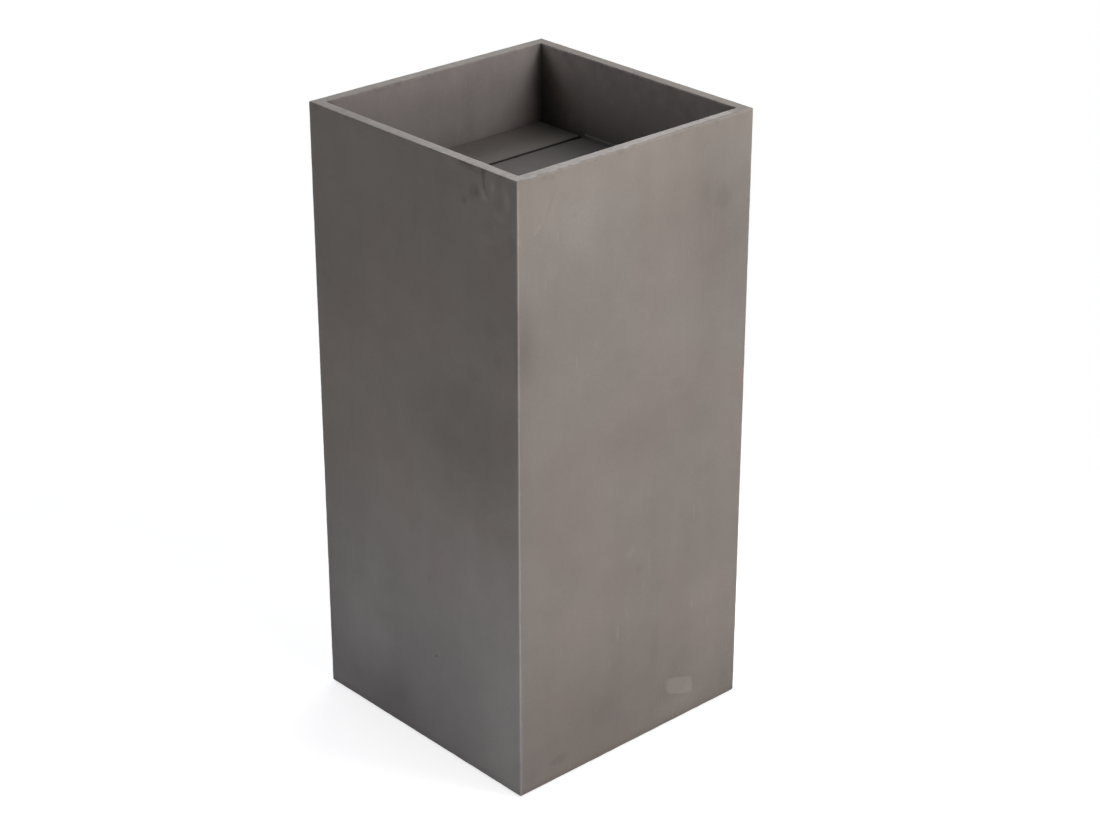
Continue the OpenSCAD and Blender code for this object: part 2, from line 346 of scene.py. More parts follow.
FRONT_MARKS = (
    # a chalky patch low down, and the streak and the pale spots above it
    Mark(82, 47.2, 23.5, 12, 0.24, core=0.8, ragged=0.14, fall=0.34, blocky=True),
    cloud(78, 24, 48, 24, 0.16),
    Mark(-24, 163, 2.4, 14, 0.17),
    Mark(-4, 265, 9, 10, 0.07),
    Mark(25.7, 237.6, 4, 15, 0.06),
    Mark(-150, 702.5, 7, 4.5, 0.11, fall=-0.85),
    # damp and handling
    Mark(9.9, 235.6, 7, 12, -0.06),
    cloud(-51, 67, 45, 35, -0.07),
    cloud(37.6, 123, 8, 38, -0.06),
    Mark(-117, 27, 16, 7, -0.10),
    Mark(133, 667, 17, 20, -0.10),
    Mark(104, 684, 9, 14, -0.06),
    Mark(-131.5, 727, 8, 8, -0.07, fall=-1.6),
    Mark(-97, 705, 9, 5, -0.06),
    cloud(-174, 565, 30, 65, -0.18),
    cloud(-148, 535, 34, 50, -0.06),
    Mark(-8, 491, 15, 11, -0.06),
    Mark(67, 459, 17, 11, -0.06),
    # broad clouds: a paler top corner, a darker belt, and a right side that is darker high up and paler at its
    # foot
    Mark(-120, 718, 95, 85, 0.09, core=0.1, ragged=0.8),
    cloud(20, 400, 200, 60, -0.06),
    cloud(140, 100, 100, 130, 0.16),
    cloud(135, 640, 85, 180, -0.14),
    cloud(75, 700, 120, 100, -0.09),
)
LEFT_MARKS = (
    # dirt smeared under the rim, and where it ran down
    Mark(-100, 760, 26, 6, -0.17),
    Mark(-95, 763, 36, 2.4, -0.25),
    Mark(-124, 758, 4.2, 19, -0.34),
    Mark(-127.3, 741.5, 3.8, 5, -0.24, fall=-2.3),
    Mark(-149.5, 755, 6, 13, -0.11),
    Mark(-148, 732, 8, 13, -0.10),
    Mark(-110.5, 735.5, 12, 11, -0.20),
    Mark(-112, 734.5, 4, 5, -0.13),
    Mark(-100, 726.5, 14, 6, -0.08, fall=0.75),
    Mark(-91, 720.5, 4.5, 6, -0.15),
    Mark(-131.5, 702, 8, 6, -0.07),
    Mark(-169, 690, 10, 15, -0.10),
    Mark(-105, 521, 17, 17, -0.06),
    Mark(-132, 579, 14, 19, -0.06),
    Mark(-144, 548, 10, 12, -0.07),
    Mark(-19, 228, 5, 6, -0.08),
    # lime beside the runs
    Mark(-122.5, 736, 9, 4.4, 0.26, fall=-1.1),
    Mark(-124.5, 731, 7, 4.5, 0.12),
    Mark(-138, 746, 4.6, 10, 0.24),
    Mark(-162, 735.5, 7, 14, 0.25),
    Mark(-158, 749, 9, 11, 0.10),
    Mark(-72, 755, 13, 7, 0.10),
    Mark(-128.5, 684.5, 15, 7, 0.08),
    Mark(-151, 716, 13, 7, 0.07),
    # a pit, painted as a dark spot of painted shade, and the pale spot beside it
    Mark(-28.5, 127, 1.8, 1.8, -0.6, ragged=0.2),
    Mark(-34, 134, 4, 5, 0.08),
    # broad clouds, painted light and shade of the light bounced off the floor: a paler top corner, a darker
    # belt, a painted shadow at the foot and painted bounce light beside it
    Mark(-125, 715, 80, 65, 0.07, core=0.1, ragged=0.6),
    cloud(-70, 405, 150, 145, -0.17),
    cloud(130, 555, 65, 85, -0.07),
    cloud(62, 38, 80, 52, -0.13),
    cloud(-150, 95, 60, 120, 0.16),
    cloud(115, 115, 80, 130, 0.28),
    cloud(165, 12, 45, 45, 0.12),
    cloud(-150, 12, 60, 45, 0.12),
    cloud(-120, 450, 110, 85, -0.13),
    cloud(130, 690, 75, 75, 0.04),
)


def marked(graph, spot, facing, mark, ragged):
    """How much paler or darker a mark makes each point of the side that stands across the axis facing.

    Ragged holds the noises that fray the edges of small and of broad marks.
    """
    along = 1 - facing
    middle = [0, 0, mark.height * MM]
    middle[facing] = -HALF
    middle[along] = mark.along * MM
    from_middle = graph.vector("SUBTRACT", spot, middle)
    dropped = graph.product(graph.parts(from_middle)[along], mark.fall)
    offset = graph.vector("ADD", from_middle, graph.upward(dropped))
    stretch = [0, 0, 1 / (mark.half_height * MM)]
    stretch[facing] = 1 / MARK_DEPTH
    stretch[along] = 1 / (mark.half_width * MM)
    share = graph.vector("MULTIPLY", offset, stretch)
    if mark.blocky:
        outline = graph.math("SQRT", graph.length(graph.vector("MULTIPLY", share, share)))
    else:
        outline = graph.length(share)
    reach = graph.times_plus(ragged[mark.half_height > BROAD_MARK], mark.ragged, outline)
    return graph.remap(reach, mark.core, 1.1, mark.change, 0.0)


def far_side_marks(graph, spot):
    """Clouds and runs of rain on the right side and the back, which have no marks of their own."""
    x, y, z = graph.parts(spot)
    on_side = graph.remap(graph.largest(x, y), HALF - 0.5 * WALL, HALF - 2 * MM)
    ends = graph.total(z, graph.swing(spot, 14, 120 * MM, 3, 41))
    runs = graph.remap(upright_streaks(graph, spot, 42, 42), 0.55, 0.72, 0, -0.22)
    runs = graph.product(runs, graph.remap(ends, 0.50, RIM))
    lime = graph.remap(upright_streaks(graph, spot, 60, 43), 0.62, 0.75, 0, 0.14)
    lime = graph.product(lime, graph.remap(ends, 0.35, 0.70))
    clouds = graph.total(graph.swing(spot, 5, 0.10, 4, 44), graph.swing(spot, 16, 0.07, 3, 45))
    return graph.product(on_side, graph.total(runs, lime, clouds))


def inner_stains(graph, spot):
    """Blotches, and faint upright stains and pale runs, on the hollow's walls."""
    inside = graph.carried("hollow")
    blotches = graph.swing(spot, 34, 0.07, 4, 46)
    stains = graph.remap(upright_streaks(graph, spot, 50, 47), 0.56, 0.72, 0, -0.06)
    runs = graph.remap(upright_streaks(graph, spot, 75, 48), 0.58, 0.74, 0, 0.05)
    return graph.product(inside, graph.total(blotches, stains, runs))


def shell_marks(graph, spot):
    """What the shell shows: a paler top, a darker foot, a rubbed front corner edge that also carries a painted
    highlight, stains, and the left side's painted light and shade.
    """
    z = graph.parts(spot)[2]
    height = graph.total(z, graph.swing(spot, 22, 12 * MM, 3, 31))
    paler_near_top = graph.remap(height, 0.58, 0.76, 0, 0.08)
    darker_low_down = graph.remap(height, 0.0, 0.26, -0.17, 0)
    foot = graph.remap(z, UNDERSIDE, UNDERSIDE + 12 * MM, -0.14, 0)

    # A paler line along the front corner's upright edge: rubbing, and a painted highlight.
    in_plan = graph.vector("MULTIPLY", graph.vector("ADD", spot, (HALF, HALF, 0)), (1, 1, 0))
    from_edge = graph.total(graph.length(in_plan), graph.swing(spot, 70, 0.6 * MM, 3, 33))
    rub_and_highlight_rise = graph.remap(z, 0, 0.4, 0.2, 0.5)
    rub_and_highlight = graph.product(graph.remap(from_edge, 0.8 * MM, 2.5 * MM, 1, 0), rub_and_highlight_rise)

    patchy = graph.remap(graph.noise(spot, 110, 3, 36), 0.45, 0.65, 0, -0.14)
    under_rim = graph.product(graph.remap(height, RIM - 8 * MM, RIM - 1 * MM), patchy)

    ragged = (graph.swing(spot, 130, 1.0, 3, 37), graph.swing(spot, 16, 1.0, 3, 38))
    marks = graph.total(*(
        marked(graph, spot, facing, mark, ragged)
        for facing, side_marks in ((1, FRONT_MARKS), (0, LEFT_MARKS))
        for mark in side_marks
    ))
    on_side = graph.remap(z, RIM - 1.2 * MM, RIM - 0.3 * MM, 1.0, 0.0)
    below_rim = graph.product(graph.total(marks, far_side_marks(graph, spot)), on_side)
    return graph.total(1.0, paler_near_top, darker_low_down, foot, rub_and_highlight, under_rim, below_rim, inner_stains(graph, spot))


def rim_dust(graph, spot):
    """Grey dust on the flat of the rim, thickest at the front: 1 where it lies thick and 0 below."""
    x, y, z = graph.parts(spot)
    level = graph.total(z, graph.swing(spot, 260, 0.4 * MM, 2, 32))
    flat = graph.remap(level, RIM - 1.0 * MM, RIM - 0.2 * MM)
    back = graph.total(y, graph.swing(spot, 30, 20 * MM, 2, 34))
    worn = graph.remap(back, -HALF, 0.8 * HALF, 1.0, 0.25)
    strip = graph.remap(x, -0.3 * HALF, 0.5 * HALF, 0.5 * MM, 3.5 * MM)
    swept = graph.total(strip, graph.swing(spot, 80, 2 * MM, 3, 35))
    kept = graph.remap(graph.minus(graph.total(y, HALF), swept), 0, 1.2 * MM)
    right = graph.remap(x, HOLLOW_HALF - 2 * WALL, HOLLOW_HALF, 1.0, 0.0)
    return graph.product(flat, worn, kept, right)


def shell_tint(graph, spot, base):
    """The shell's tone: olive at its top, cool at its left foot, greyer in the hollow, dusted on the rim."""
    x, _, z = graph.parts(spot)
    height = graph.total(z, graph.swing(spot, 12, 30 * MM, 3, 39))
    base = graph.blend(graph.remap(height, 0.60, 0.76, 0, 0.8), base, DRY_TOP_TONE)
    on_left = graph.remap(x, -HALF, WALL - HALF, 1.0, 0.0)
    cool = graph.product(on_left, graph.remap(height, 0.10, 0.40, 1.0, 0.0))
    base = graph.blend(cool, base, COOL_LOW_LEFT_TONE)
    base = graph.blend(graph.product(graph.carried("hollow"), 0.8), base, HOLLOW_TONE)
    return graph.blend(rim_dust(graph, spot), base, DUST_TONE)


def mortar_finish():
    """Fine mortar, smoothed with a finger, with painted shade darkening its foot and its lip."""
    material, graph, shader, spot = new_finish("mortar_finish", Specular_IOR_Level=0.3)
    brightness = graph.total(1.0, graph.swing(spot, 60, 0.08, 3, 3), graph.swing(spot, 1200, 0.08, 2, 4))
    # The pinholes are painted darker: painted shade in them, with dirt.
    holes = pinholes(graph, spot, 300, 0.3, 0.35 * MM)
    brightness = graph.product(brightness, graph.times_plus(holes, -0.4, 1.0))
    rise = graph.minus(graph.parts(spot)[2], TRAY_FLOOR)
    # Painted shade: darker in the crease at its foot and over its upper part against the wall, with a paler
    # line left between.
    foot_shade = graph.remap(rise, 0.8 * MM, 2.0 * MM, 0.35, 1.0)
    lip_shade = graph.remap(rise, 2.8 * MM, 4.0 * MM, 1.0, 0.55)
    colour = graph.scaled(MORTAR_TONE, graph.product(brightness, foot_shade, lip_shade))
    roughness = graph.total(graph.swing(spot, 90, 0.05, 2, 5), 0.85)
    relief = graph.total(graph.swing(spot, 700, 0.5, 3, 6), graph.product(holes, -1.5))
    paint(graph, shader, colour, roughness, relief, 0.2 * MM)
    return material


def brushed_steel():
    """Stainless strip, brushed along its length, with a faint haze of handling."""
    material, graph, shader, spot = new_finish("brushed_steel", Metallic=1.0, Anisotropic=0.4)
    lines = graph.noise(graph.squeezed(spot, (1, 0.012, 1)), 2600, 3, 11)
    haze = graph.swing(spot, 30, 0.05, 3, 12)
    colour = graph.scaled(STEEL_TONE, graph.total(1.0, haze, graph.centred(lines, 0.25)))
    roughness = graph.total(0.30, haze, graph.product(lines, 0.14))
    paint(graph, shader, colour, roughness, lines, 0.02 * MM)
    return material


def filmed(finish, spot_noise, film_reach, line_noise, squeeze, roughness, depth, tones):
    """Lays a dull film in patches over fine lines. Roughness is its own value, and what each of them adds."""
    material, graph, shader, spot = finish
    film = graph.remap(graph.noise(spot, *spot_noise), *film_reach)
    lines = graph.noise(graph.squeezed(spot, squeeze), *line_noise)
    own, by_film, by_lines = roughness
    rough = graph.total(own, graph.product(film, by_film), graph.product(lines, by_lines))
    paint(graph, shader, graph.blend(film, *tones), rough, lines, depth)
    return material


def turned_brass():
    """Brass with the fine rings of turning, dulled by lime."""
    finish = new_finish("turned_brass", Metallic=1.0)
    film = ((220, 4, 21), (0.4, 0.7))
    rings = ((3000, 2, 22), (1, 0.05, 0.05))
    return filmed(finish, *film, *rings, (0.28, 0.25, 0.1), 0.02 * MM, BRASS_TONES)


def grey_pipe():
    """Grey pipe plastic, drawn, with a fine haze of scratches."""
    finish = new_finish("grey_pipe", Specular_IOR_Level=0.45)
    film = ((120, 4, 42), (0.45, 0.75, 0, 0.5))
    scratches = ((1500, 2, 41), (1, 1, 0.03))
    return filmed(finish, *film, *scratches, (0.38, 0.5, 0.1), 0.02 * MM, PIPE_TONES)


def black_rubber():
    """Black rubber with a matt moulded skin and a little dust."""
    finish = new_finish("black_rubber", Specular_IOR_Level=0.35)
    film = ((150, 4, 51), (0.45, 0.8, 0, 0.6))
    skin = ((2600, 2, 52), (1, 1, 1))
    return filmed(finish, *film, *skin, (0.55, 0.3, 0.0), 0.05 * MM, RUBBER_TONES)


# Meshes

JOIN_DISTANCE = 0.01 * MM
HOLE_MARGIN = 1.5 * MM
RING_POINTS = 48


class Casting:
    """Gathers the patches of a closed mesh, with the values that its points carry for trees and finishes."""

    KINDS = {"hollow": 1, "mouth_gap": 1, "mouth_way": 3, "grime": 1}

    def __init__(self):
        self.points = []
        self.faces = []
        self.values = {name: [] for name in self.KINDS}

    def add(self, points, faces, **values):
        first = sum(len(patch) for patch in self.points)
        self.points.append(points)
        self.faces += [[first + corner for corner in face] for face in faces]
        for name, width in self.KINDS.items():
            given = np.asarray(values.get(name, 0.0), float)
            filled = np.zeros((len(points), width))
            filled[:] = given.reshape(-1, width) if given.ndim else given
            self.values[name].append(filled)

    def mesh(self, name):
        """Joins the patches where they meet and turns every face outwards."""
        mesh = bpy.data.meshes.new(name)
        mesh.from_pydata(np.concatenate(self.points), [], self.faces)
        for layer, width in self.KINDS.items():
            kind, key = ("FLOAT", "value") if width == 1 else ("FLOAT_VECTOR", "vector")
            data = mesh.attributes.new(layer, kind, "POINT").data
            data.foreach_set(key, np.concatenate(self.values[layer]).ravel())
        joined = bmesh.new()
        joined.from_mesh(mesh)
        bmesh.ops.remove_doubles(joined, verts=joined.verts, dist=JOIN_DISTANCE)
        bmesh.ops.delete(joined, geom=[v for v in joined.verts if not v.link_faces], context="VERTS")
        bmesh.ops.recalc_face_normals(joined, faces=joined.faces)
        joined.to_mesh(mesh)
        joined.free()
        return mesh


def stations(length, cells, close=()):
    """Places along a side, and their ranks: high on coarse grids, and lowest close to the ends."""
    even = [(length * i / cells, (i % 2 == 0) + (i % 4 == 0)) for i in range(cells + 1)]
    extra = [(gap, -1) for gap in close] + [(length - gap, -1) for gap in close]
    places, ranks = zip(*sorted(even + extra))
    return np.array(places), np.array(ranks)


def graded_points(across, up, bands):
    """Points over a flat panel, fewer where a band's distance from the panel's edges is passed."""
    (x, x_rank), (y, y_rank) = across, up
    rank = np.minimum.outer(x_rank, y_rank)
    gap = np.minimum.outer(np.minimum(x, x[-1] - x), np.minimum(y, y[-1] - y))
    needed = np.select([gap < reach for reach, _ in bands], [lowest for _, lowest in bands], 2)
    column, row = np.nonzero(rank >= needed)
    return np.column_stack([x[column], y[row]])


def circle(centre, radius, count=RING_POINTS):
    turn = np.arange(count) * 2 * math.pi / count
    return np.column_stack([centre[0] + radius * np.cos(turn), centre[1] + radius * np.sin(turn)])


def at_height(flat, height):
    return np.column_stack([flat, np.full(len(flat), height)])


def distance(points, centre):
    return np.hypot(points[:, 0] - centre[0], points[:, 1] - centre[1])


def filled_panel(points, holes=()):
    """Fills a flat panel with triangles, but for its round holes, each given by its centre and radius."""
    for centre, radius in holes:
        points = points[distance(points, centre) > radius + HOLE_MARGIN]
    edges = []
    for centre, radius in holes:
        ring = circle(centre, radius)
        first = len(points)
        points = np.concatenate([points, ring])
        edges += [(first + i, first + (i + 1) % len(ring)) for i in range(len(ring))]
    flat, _, faces, *_ = delaunay_2d_cdt([Vector(p) for p in points], edges, [], 0, 1e-9)
    flat = np.array(flat)
    centres = np.array([flat[list(face)].mean(0) for face in faces])
    kept = np.ones(len(faces), bool)
    for centre, radius in holes:
        kept &= distance(centres, centre) > radius
    return flat, [face for face, keep in zip(faces, kept) if keep]


def grid_faces(columns, rows):
    """Squares over a grid of points whose columns follow one another."""
    return [
        (i * rows + j, (i + 1) * rows + j, (i + 1) * rows + j + 1, i * rows + j + 1)
        for i in range(columns - 1)
        for j in range(rows - 1)
    ]


def loft(rings, closed_start=False, closed_end=False):
    """Joins rings that have as many points each, and fills the first and last where asked."""
    count = len(rings[0])
    faces = [
        (k * count + i, k * count + (i + 1) % count, (k + 1) * count + (i + 1) % count, (k + 1) * count + i)
        for k in range(len(rings) - 1)
        for i in range(count)
    ]
    if closed_start:
        faces.append(tuple(range(count)))
    if closed_end:
        faces.append(tuple(range((len(rings) - 1) * count, len(rings) * count)))
    return np.concatenate(rings), faces


def stand(side, along, out, up):
    """Puts points on a side of the shell, counted from the front to the right. Along and out are in plan."""
    x, y = [(along, -out), (out, along), (-along, out), (-out, -along)][side]
    return np.column_stack(np.broadcast_arrays(x, y, up))


def filleted(along, half, radius):
    """Bends a side of a square into its rounded corners. Gives each point's place in plan and its way out."""
    core = np.clip(along, radius - half, half - radius)
    reach = np.stack(np.broadcast_arrays(along - core, radius))
    way = reach / np.linalg.norm(reach, axis=0)
    return core + radius * way[0], half - radius + radius * way[1], way


# The shell

EDGE_STEPS = (0.35 * MM, 0.8 * MM, 1.3 * MM)
SIDE_CELLS = 152
HEIGHT_CELLS = 328
TRAY_CELLS = 44
HOLLOW_CELLS = 40
FINE_BANDS = ((2.1 * MM, -1), (6 * MM, 0), (20 * MM, 1))
PLAIN_BANDS = ((0.01 * MM, -1), (3 * MM, 0), (12 * MM, 1))
WALL_BANDS = ((2.1 * MM, -1), (3 * MM, 0), (12 * MM, 1))
RIM_STEPS = np.array([0, 0.35, 0.8, 1.3, 2, 3, 4.5, 6.5, 8.5, 10, 11, 12, 12.7, 13.2, 13.65, 14]) * MM
DENT_RINGS = (0.55, 0.88, 1, 1.35)
DENT_POINTS = 8
DENTS_A_SIDE = 55
DENT_MARGIN = 9 * MM


def dents(dice, count, width, height):
    """The small round holes that bubbles leave in a cast face: place, radius and depth."""
    return [
        (
            dice.uniform(DENT_MARGIN, width - DENT_MARGIN),
            dice.uniform(DENT_MARGIN, height - DENT_MARGIN),
            radius := dice.uniform(0.3, 0.6) * MM + dice.random() ** 6 * 0.6 * MM,
            dice.uniform(0.5, 0.9) * radius,
        )
        for _ in range(count)
    ]


def with_dents(points, holes):
    """Clears the points around each dent and puts rings of points there."""
    rings = []
    for x, y, radius, _ in holes:
        points = points[distance(points, (x, y)) > (DENT_RINGS[-1] + 0.3) * radius]
        rings += [circle((x, y), share * radius, DENT_POINTS) for share in DENT_RINGS]
        rings.append(np.array([[x, y]]))
    return np.concatenate([points, *rings])


def dent_depth(points, holes):
    depth = np.zeros(len(points))
    for x, y, radius, deep in holes:
        share = distance(points, (x, y)) / radius
        depth = np.maximum(depth, deep * np.sqrt(np.clip(1 - share ** 2, 0, 1)))
    return depth


def hollow_grime_and_shade(points, side):
    """How much darker the hollow is painted: painted shade mixed with dirt, most low down and in the side
    walls' corners, and below nought near the rim, where it is painted light.
    """
    gap = HOLLOW_HALF - np.abs(points[:, :2]).min(1)
    rise = np.maximum(points[:, 2] - TRAY_FLOOR, 0)
    depth = np.maximum(RIM - points[:, 2], 0)
    if side % 2:
        # Side walls: a painted shadow in the corners whose edge slants down away from them, painted shade with
        # dirt low down, and a paler band of painted light under the rim.
        corner = 1.3 / (1 + np.exp((gap - 0.56 * depth - 3.5 * MM) / (2.5 * MM + 0.19 * depth)))
        floor = 0.75 * np.exp(-rise / (40 * MM))
        paler_near_top = 0.65 * np.exp(-depth / (55 * MM))
    else:
        # Front and back walls: the same painted shade and light, fainter, with the corner shade held close in.
        corner = 0.8 * np.exp(-gap / (8 * MM))
        floor = 0.3 * np.exp(-rise / (22 * MM))
        paler_near_top = 0.26 * np.exp(-depth / (30 * MM))
    above = np.minimum(np.maximum(corner, floor) - paler_near_top, 1.07)
    # Below the tray's floor: darker all over, with painted shade deepening towards the corners.
    below = 0.2 + 0.3 * np.exp(-gap / (20 * MM))
    return np.where(points[:, 2] < TRAY_FLOOR - 1 * MM, below, above)


def add_outer_side(casting, side, dice):
    height = RIM - UNDERSIDE
    across = stations(2 * HALF, SIDE_CELLS, EDGE_STEPS)
    up = stations(height, HEIGHT_CELLS, EDGE_STEPS)
    holes = dents(dice, DENTS_A_SIDE, 2 * HALF, height)
    points, faces = filled_panel(with_dents(graded_points(across, up, FINE_BANDS), holes))
    out = HALF - dent_depth(points, holes)
    casting.add(stand(side, points[:, 0] - HALF, out, UNDERSIDE + points[:, 1]), faces)


def add_rim(casting, side):
    x, _ = stations(2 * HALF, SIDE_CELLS, EDGE_STEPS)
    gap, along = np.meshgrid(RIM_STEPS, x - HALF)
    half = HOLLOW_HALF + gap
    radius = HOLLOW_FILLET * (1 - gap / WALL) + 1e-9
    along, out, way = filleted(along * half / HALF, half, radius)
    points = stand(side, along.ravel(), out.ravel(), RIM)
    ways = stand(side, way[0].ravel(), way[1].ravel(), 0)
    faces = grid_faces(len(x), len(RIM_STEPS))
    casting.add(points, faces, mouth_gap=gap.ravel(), mouth_way=ways)


def add_hollow_side(casting, side, low, high, cells, close, bands, holes=()):
    """Adds a stretch of one inner wall, with round holes where sockets are cast in."""
    x, rank = stations(2 * HALF, SIDE_CELLS, EDGE_STEPS)
    across = (x * HOLLOW_HALF / HALF, rank)
    panel, faces = filled_panel(graded_points(across, stations(high - low, cells, close), bands), holes)
    along, out, way = filleted(panel[:, 0] - HOLLOW_HALF, HOLLOW_HALF, HOLLOW_FILLET)
    points = stand(side, along, out, low + panel[:, 1])
    ways = stand(side, way[0], way[1], 0)
    casting.add(points, faces, hollow=1, mouth_way=ways, grime=hollow_grime_and_shade(points, side))


def add_socket_hole(casting, side, centre, low):
    """Lines a hole in an inner wall with the room that a cast-in socket and its collar take."""
    steps = (
        (SOCKET_RADIUS, 0),
        (SOCKET_RADIUS, SOCKET_LENGTH - COLLAR_THICKNESS),
        (COLLAR_RADIUS, SOCKET_LENGTH - COLLAR_THICKNESS),
        (COLLAR_RADIUS, SOCKET_LENGTH),
    )
    rings = []
    for radius, depth in steps:
        ring = circle(centre, radius + CAST_GAP)
        rings.append(stand(side, ring[:, 0] - HOLLOW_HALF, HOLLOW_HALF + depth, low + ring[:, 1]))
    casting.add(*loft(rings, closed_end=True), hollow=1)


def level_rings(steps, centre=(0, 0), count=RING_POINTS):
    """Level rings, one for each radius and height."""
    return [at_height(circle(centre, radius, count), height) for radius, height in steps]


def add_base(casting):
    """Adds the underside with its foot pockets, the hollow's floor, and the bore for the drain sleeve."""
    square = stations(2 * HALF, SIDE_CELLS, EDGE_STEPS)
    flat = graded_points(square, square, PLAIN_BANDS) - HALF
    bore = SLEEVE_RADIUS + CAST_GAP
    recess = FLANGE_HIGH.x + CAST_GAP
    pockets = []
    for name in FEET:
        low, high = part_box(name)
        centre = ((low + high) / 2).xy
        radius = (high.x - low.x) / 2 + CAST_GAP
        pockets.append((centre, radius))
        rings = level_rings([(radius, UNDERSIDE), (radius, high.z)], centre)
        casting.add(*loft(rings, closed_end=True), hollow=1)
    points, faces = filled_panel(flat, [((0, 0), bore), *pockets])
    casting.add(at_height(points, UNDERSIDE), faces)

    inner = flat * HOLLOW_HALF / HALF
    core = np.clip(inner, HOLLOW_FILLET - HOLLOW_HALF, HOLLOW_HALF - HOLLOW_FILLET)
    reach = inner - core
    length = np.hypot(*reach.T)[:, None]
    on_edge = np.abs(inner).max(1)[:, None] > HOLLOW_HALF - JOIN_DISTANCE
    inner = np.where(on_edge, core + HOLLOW_FILLET * reach / np.maximum(length, 1e-9), inner)
    points, faces = filled_panel(inner, [((0, 0), recess)])
    # The hollow's floor is painted darker all over: painted shade with dirt.
    casting.add(at_height(points, HOLLOW_FLOOR), faces, hollow=1, grime=0.3)
    step = HOLLOW_FLOOR - FLANGE_THICKNESS
    steps = [(bore, UNDERSIDE), (bore, step), (recess, step), (recess, HOLLOW_FLOOR)]
    casting.add(*loft(level_rings(steps)), hollow=1)


def shell_mesh():
    dice = random.Random(7)
    casting = Casting()
    for side in range(4):
        add_outer_side(casting, side, dice)
        add_rim(casting, side)
        add_hollow_side(casting, side, TRAY_FLOOR, RIM, TRAY_CELLS, EDGE_STEPS, FINE_BANDS)
        holes = []
        if side % 2:
            offsets = [(i - (SCREW_COUNT - 1) / 2) * SCREW_PITCH for i in range(SCREW_COUNT)]
            holes = [((HOLLOW_HALF + y, SCREW_Z - HOLLOW_FLOOR), SOCKET_RADIUS + CAST_GAP) for y in offsets]
        for centre, _ in holes:
            add_socket_hole(casting, side, centre, HOLLOW_FLOOR)
        add_hollow_side(casting, side, HOLLOW_FLOOR, TRAY_FLOOR, HOLLOW_CELLS, (), WALL_BANDS, holes)
    add_base(casting)
    return casting.mesh("shell_blank")


WEAR_NUMBERS = (
    "ease", "unevenness", "wave", "wear_width", "chip_rate", "chip_reach", "nick_size", "nick_reach", "seed",
)


def wandering_ease(graph, given, spot):
    """How far back an edge is worn: a radius that wanders, with chips and one nick in it."""
    seed = given["seed"]
    wander = graph.total(1.0, graph.swing(spot, 45, given["unevenness"], 3, seed))
    chipped = graph.remap(graph.noise(spot, given["chip_rate"], 2, graph.total(seed, 5.0)), 0.66, 0.8)
    from_nick = graph.length(graph.vector("SUBTRACT", spot, given["nick_place"]))
    nicked = graph.remap(from_nick, 0.0, given["nick_size"], given["nick_reach"], 0.0)
    return graph.times_plus(given["ease"], wander, graph.times_plus(chipped, given["chip_reach"], nicked))


def block_rounding(graph, given, spot, ease):
    """The way from a point on a sharp block to the rounded one."""
    low = graph.vector("ADD", given["low"], ease)
    high = graph.vector("SUBTRACT", given["high"], ease)
    core = graph.vector("MAXIMUM", low, graph.vector("MINIMUM", high, spot))
    rounded = graph.scaled(graph.vector("NORMALIZE", graph.vector("SUBTRACT", spot, core)), ease)
    return graph.vector("SUBTRACT", graph.vector("ADD", core, rounded), spot)


def mouth_rounding(graph, way, gap, drop, ease):
    """The way from a hollow's sharp mouth to the rounded one, by a point's gap and drop from it."""
    core_gap = graph.largest(gap, ease)
    core_drop = graph.largest(drop, ease)
    gap_reach = graph.minus(gap, core_gap)
    drop_reach = graph.minus(drop, core_drop)
    squares = graph.times_plus(gap_reach, gap_reach, graph.product(drop_reach, drop_reach))
    stretch = graph.math("DIVIDE", ease, graph.largest(graph.math("SQRT", squares), 1e-7))
    new_gap = graph.times_plus(gap_reach, stretch, core_gap)
    new_drop = graph.times_plus(drop_reach, stretch, core_drop)
    sink = graph.product(graph.minus(drop, new_drop), graph.length(way))
    return graph.vector("ADD", graph.scaled(way, graph.minus(new_gap, gap)), graph.upward(sink))


def edge_wear(graph, given, spot, outside, way, gap, drop):
    """How worn a point is: 1 on an edge and 0 a short way from it."""
    to_low = graph.vector("SUBTRACT", spot, given["low"])
    to_high = graph.vector("SUBTRACT", given["high"], spot)
    x, y, z = graph.parts(graph.vector("MINIMUM", to_low, to_high))
    edge_gap = graph.minus(graph.total(x, y, z), graph.largest(x, y, z))
    width = given["wear_width"]
    ragged = graph.swing(spot, 150, graph.product(width, 0.35), 3, graph.total(given["seed"], 3.0))
    places = ((edge_gap, outside), (graph.largest(gap, drop), graph.length(way)))
    return graph.largest(*(
        graph.product(graph.remap(graph.total(reach, ragged), 0.0, width, 1.0, 0.0), share)
        for reach, share in places
    ))


